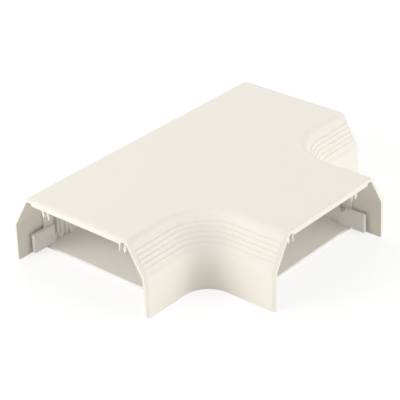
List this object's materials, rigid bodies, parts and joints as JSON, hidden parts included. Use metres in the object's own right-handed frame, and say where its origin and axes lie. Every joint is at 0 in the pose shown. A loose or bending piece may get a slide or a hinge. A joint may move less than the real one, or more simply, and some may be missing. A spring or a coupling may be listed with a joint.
{
  "type": "trunking tee fitting",
  "caption": "Tee junction for surface cable trunking: a sloping-sided clip-on cover with stepped inside corners over an open floor tray.",
  "frame": {"origin": "on the wall face, where the centreline of the straight run crosses the centreline of the branch", "axes": "+X along the straight run, the branch leaves towards -Y, +Z points away from the wall"},
  "size_m": [0.1992, 0.1556, 0.0451],
  "materials": {
    "cover_plastic": "off-white moulded plastic with a fine satin grain",
    "base_plastic": "off-white moulded plastic, plain satin"
  },
  "bodies": {
    "root": {"cover": "cover_plastic", "base": "base_plastic"}
  },
  "joints": []
}
